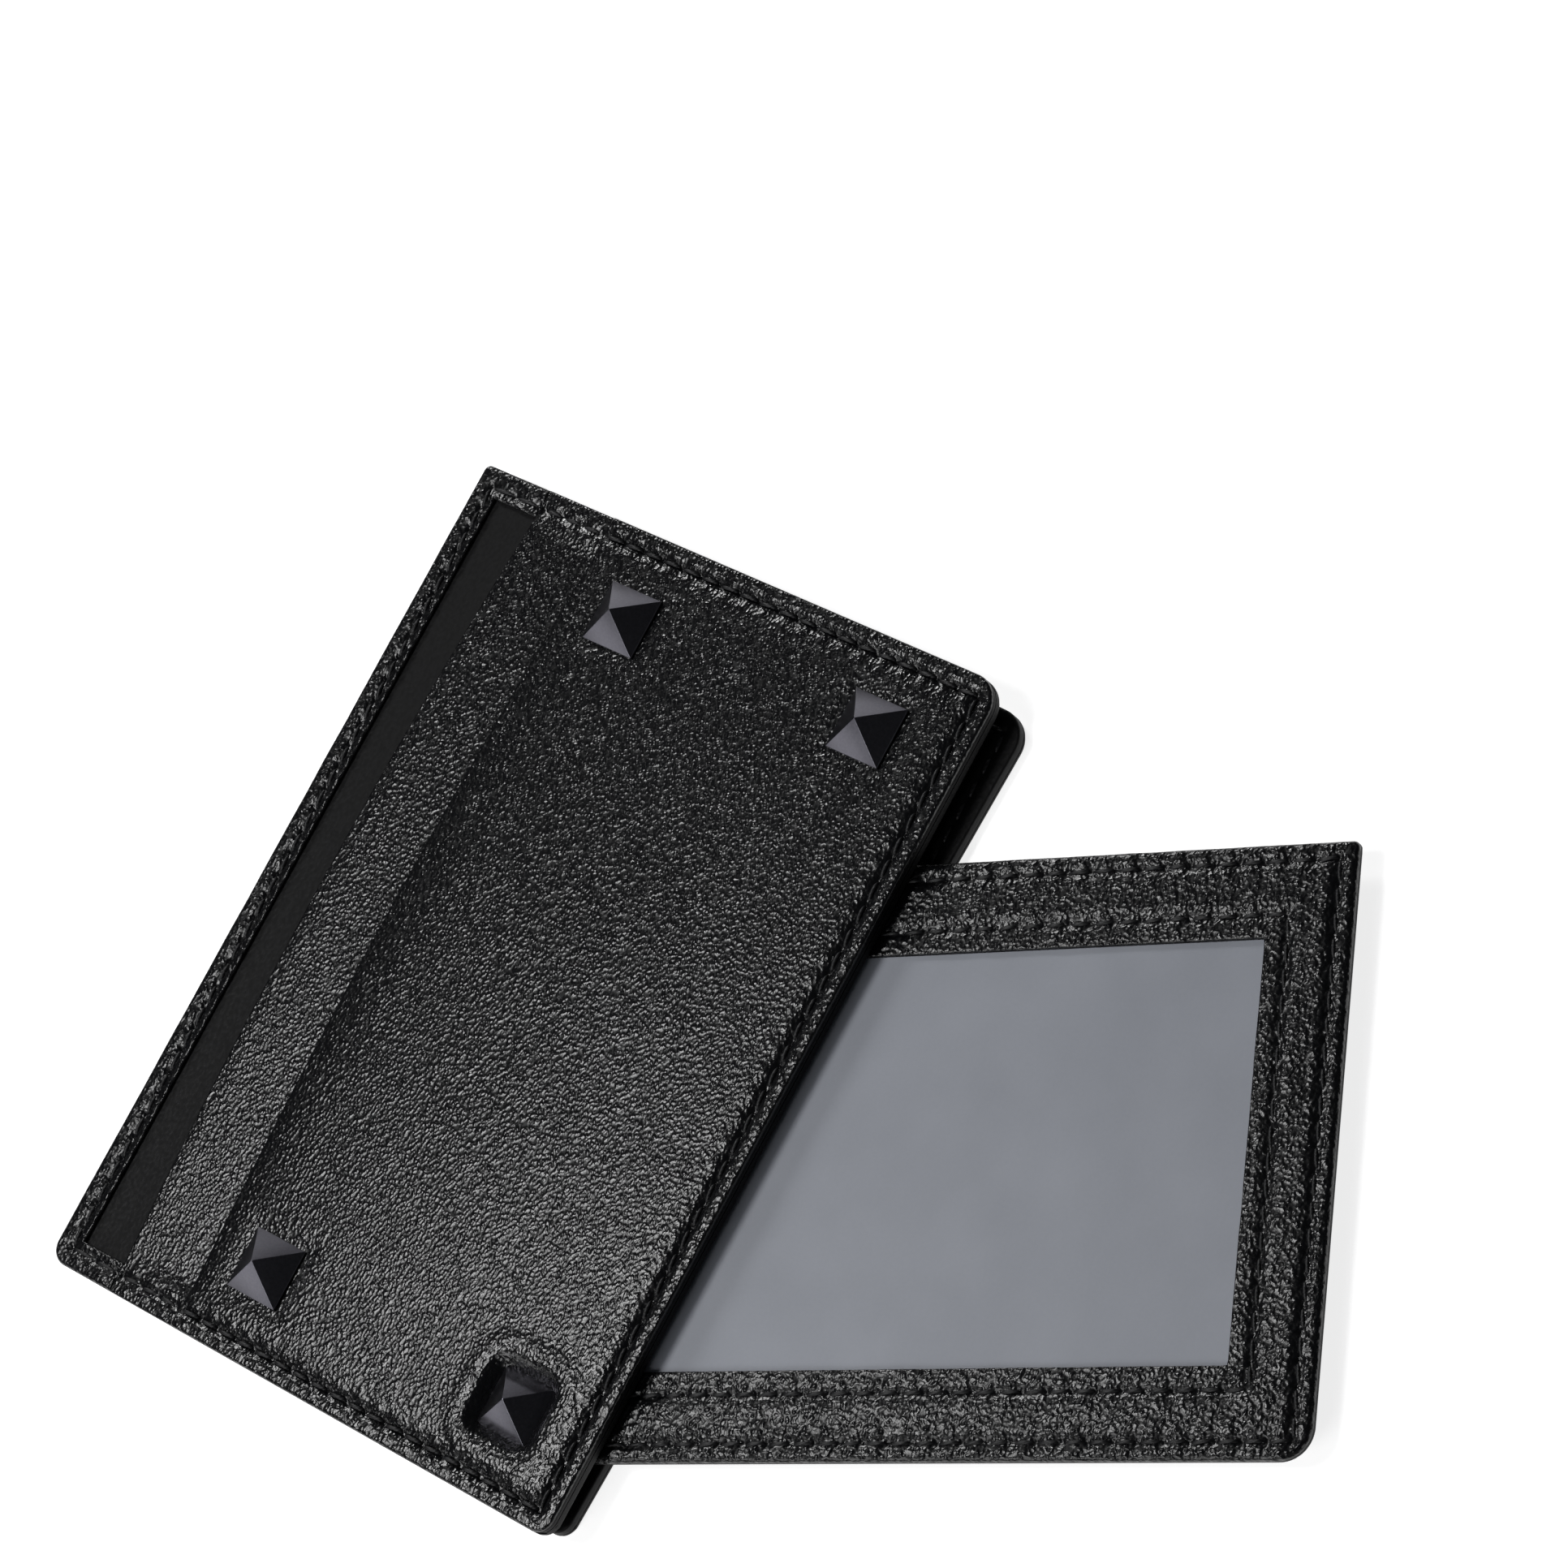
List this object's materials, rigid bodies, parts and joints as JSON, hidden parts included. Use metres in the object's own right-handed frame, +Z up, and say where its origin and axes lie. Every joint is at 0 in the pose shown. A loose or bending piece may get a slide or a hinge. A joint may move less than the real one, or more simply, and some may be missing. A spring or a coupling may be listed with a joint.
{
  "type": "swivel card wallet",
  "caption": "Black leather card wallet of three leaves that swivel on a corner rivet: a studded pocket leaf, a window leaf and a plain back leaf.",
  "frame": {"origin": "centre of the back leaf's flat underside, which rests on a surface", "axes": "+Z up through the leaves, +X along the back leaf's long edges away from the rivet, +Y towards the card slots"},
  "size_m": [0.1042, 0.1466, 0.0088],
  "materials": {
    "grained_leather": "fine pebble grain, satin black",
    "smooth_leather": "smooth matt black",
    "thread": "bonded polyester, black",
    "stud_metal": "matt black lacquer",
    "rivet_metal": "black nickel",
    "washer": "black nylon",
    "frosted_film": "frosted translucent vinyl",
    "backing_sheet": "plain grey sheet",
    "board": "bonded leather board"
  },
  "bodies": {
    "back_leaf": {"back_pocket": "grained_leather", "back_slot_border": "grained_leather", "back_slot_panel": "smooth_leather", "back_lining": "smooth_leather", "back_board": "board", "back_seam_thread": "thread", "back_bushing": "rivet_metal"},
    "window_leaf": {"window_frame": "grained_leather", "window_film": "frosted_film", "card_backing": "backing_sheet", "window_back_panel": "grained_leather", "window_outer_thread": "thread", "window_inner_thread": "thread", "window_bushing": "rivet_metal", "leaf_washers": "washer"},
    "front_leaf": {"front_lining": "smooth_leather", "front_board": "board", "front_slot_panel": "smooth_leather", "front_slot_border": "grained_leather", "front_second_pocket": "grained_leather", "front_studded_pocket": "grained_leather", "front_seam_thread": "thread", "corner_studs": "stud_metal", "stud_backs": "rivet_metal", "pivot_stud": "stud_metal", "pivot_cap": "rivet_metal", "rear_washer": "washer"}
  },
  "joints": [
    {"name": "window_leaf_swivel", "type": "hinge", "parent": "back_leaf", "child": "window_leaf", "pos_m": [-0.0397, -0.0259, 0], "axis": [0, 0, 1], "range_deg": [-116.8, 63.2]},
    {"name": "front_leaf_swivel", "type": "hinge", "parent": "back_leaf", "child": "front_leaf", "pos_m": [-0.0397, -0.0259, 0], "axis": [0, 0, 1], "range_deg": [-1.8, 178.2]}
  ]
}
